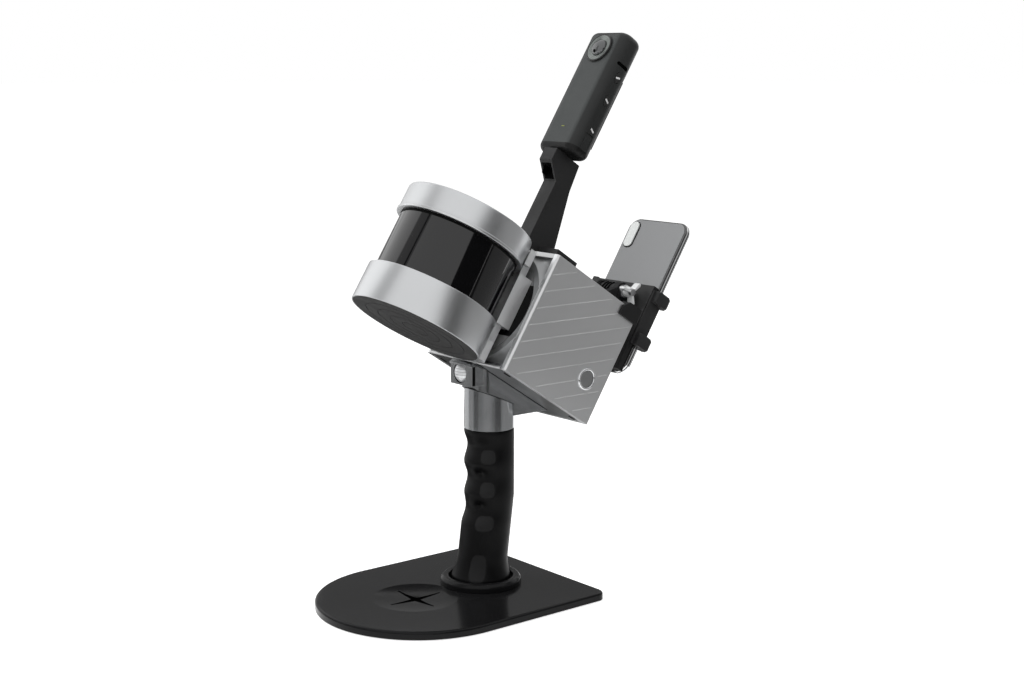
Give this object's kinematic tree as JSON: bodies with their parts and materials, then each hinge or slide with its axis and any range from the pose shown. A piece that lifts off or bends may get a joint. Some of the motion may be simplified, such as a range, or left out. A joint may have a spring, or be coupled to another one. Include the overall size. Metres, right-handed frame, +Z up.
{
  "type": "handheld laser scanner",
  "caption": "Handheld laser scanner with a tilted spinning laser head, action camera and phone clamp, on a finger grip that stands on a flat base.",
  "frame": {"origin": "on the surface the stand rests on, straight under the axis of the neck", "axes": "+Z up, -Y towards the laser head, +X towards the side with the power button"},
  "size_m": [0.1712, 0.3515, 0.454],
  "materials": {
    "stand_paint": "semi-gloss dark grey coat",
    "stand_pad": "matt",
    "sight_paint": "matt black",
    "screw_steel": "plain steel",
    "core_aluminium": "machined",
    "battery_shell": "smooth",
    "grip_rubber": "satin moulded rubber",
    "neck_aluminium": "turned satin",
    "start_button": "finely turned lines",
    "panel_aluminium": "blasted satin",
    "plate_aluminium": "blasted satin",
    "port_shell": "plated",
    "bezel_chrome": "polished",
    "power_button": "satin",
    "circuit_board": "lacquered",
    "cover_aluminium": "satin dish",
    "housing_aluminium": "machined",
    "drive_steel": "ground",
    "slip_ring_plastic": "moulded",
    "turntable_black": "anodised black",
    "yoke_aluminium": "satin",
    "laser_ring_aluminium": "turned satin",
    "laser_underside": "ringed",
    "laser_window": "polished black",
    "laser_drum": "moulded",
    "optic_glass": "coated",
    "arm_plastic": "satin",
    "camera_shell": "soft satin",
    "camera_keys": "satin",
    "camera_screen": "glass-like",
    "lens_ring": "dark plated",
    "lens_glass": "coated dome",
    "bracket_plastic": "satin",
    "knob_chrome": "polished",
    "clamp_plastic": "satin",
    "clamp_rubber": "ribbed",
    "phone_rail": "polished",
    "phone_glass": "grey glass",
    "phone_screen": "black glass",
    "phone_camera": "pale glass"
  },
  "bodies": {
    "stand": {"base_plate": "stand_paint", "base_pad": "stand_pad", "base_collar": "stand_paint", "sight_cross": "sight_paint", "base_screw": "screw_steel"},
    "scanner": {"grip_core": "core_aluminium", "battery_pack": "battery_shell", "grip_sleeve": "grip_rubber", "neck": "neck_aluminium", "wedge_adapter": "neck_aluminium", "right_panel": "panel_aluminium", "left_panel": "panel_aluminium", "bottom_plate": "plate_aluminium", "top_plate": "plate_aluminium", "back_plate": "plate_aluminium", "back_screws": "screw_steel", "data_port": "port_shell", "button_bezel": "bezel_chrome", "main_board": "circuit_board", "computer_board": "circuit_board", "front_cover": "cover_aluminium", "bearing_housing": "housing_aluminium", "spindle_bearings": "drive_steel", "motor_stator": "drive_steel", "slip_ring_housing": "housing_aluminium", "camera_arm": "arm_plastic", "arm_screws": "screw_steel", "camera_screw": "screw_steel", "camera_body": "camera_shell", "camera_screen": "camera_screen", "lens_rings": "lens_ring", "camera_lenses": "lens_glass", "phone_bracket": "bracket_plastic", "pivot_bolt": "screw_steel"},
    "start_key": {"start_button": "start_button"},
    "power_key": {"power_button": "power_button"},
    "turntable": {"turntable_disc": "turntable_black", "spindle": "drive_steel", "motor_rotor": "drive_steel", "slip_ring_core": "slip_ring_plastic", "yoke_bracket": "yoke_aluminium", "yoke_screws": "screw_steel", "laser_base_ring": "laser_ring_aluminium", "laser_bottom_disc": "laser_underside", "laser_window": "laser_window", "laser_top_ring": "laser_ring_aluminium"},
    "laser_drum": {"laser_rotor": "laser_drum", "laser_optics": "optic_glass"},
    "camera_power": {"camera_power_key": "camera_keys"},
    "camera_mode": {"camera_mode_key": "camera_keys"},
    "camera_door": {"camera_door": "camera_shell"},
    "clamp_knob": {"clamp_knob": "knob_chrome"},
    "phone_clamp": {"clamp_body": "clamp_plastic", "clamp_pad": "clamp_rubber", "phone_frame": "phone_rail", "phone_back_glass": "phone_glass", "phone_screen": "phone_screen", "phone_camera": "phone_camera"},
    "moving_jaw": {"moving_jaw": "clamp_plastic"}
  },
  "joints": [
    {"name": "lift_off", "type": "slide", "parent": "stand", "child": "scanner", "axis": [0, 0, 1], "range_m": [0, 0.05]},
    {"name": "start_press", "type": "slide", "parent": "scanner", "child": "start_key", "axis": [0, 1, 0], "range_m": [0, 0.0015], "stiffness_N_per_m": 600, "springref_m": -0.0006},
    {"name": "power_press", "type": "slide", "parent": "scanner", "child": "power_key", "axis": [-1, 0, 0], "range_m": [0, 0.001], "stiffness_N_per_m": 800, "springref_m": -0.0006},
    {"name": "turntable_spin", "type": "hinge", "parent": "scanner", "child": "turntable", "pos_m": [0, 0.00228, 0.23664], "axis": [0, -0.8405, 0.5419], "continuous": true},
    {"name": "drum_spin", "type": "hinge", "parent": "turntable", "child": "laser_drum", "pos_m": [0, -0.04605, 0.2678], "axis": [0, 0.5419, 0.8405], "continuous": true},
    {"name": "camera_power_press", "type": "slide", "parent": "scanner", "child": "camera_power", "axis": [-1, 0, 0], "range_m": [0, 0.0004], "stiffness_N_per_m": 1000, "springref_m": -0.0003},
    {"name": "camera_mode_press", "type": "slide", "parent": "scanner", "child": "camera_mode", "axis": [-1, 0, 0], "range_m": [0, 0.0004], "stiffness_N_per_m": 1000, "springref_m": -0.0003},
    {"name": "camera_door_hinge", "type": "hinge", "parent": "scanner", "child": "camera_door", "pos_m": [0.02275, 0.07871, 0.35852], "axis": [0, 0.8405, -0.5419], "range_deg": [0, 90]},
    {"name": "knob_turn", "type": "hinge", "parent": "scanner", "child": "clamp_knob", "pos_m": [0, 0.13412, 0.23814], "axis": [1, 0, 0], "continuous": true},
    {"name": "clamp_tilt", "type": "hinge", "parent": "scanner", "child": "phone_clamp", "pos_m": [0, 0.13412, 0.23814], "axis": [1, 0, 0], "range_deg": [-15, 45]},
    {"name": "jaw_slide", "type": "slide", "parent": "phone_clamp", "child": "moving_jaw", "axis": [1, 0, 0], "range_m": [0, 0.02], "stiffness_N_per_m": 150, "springref_m": -0.03}
  ]
}
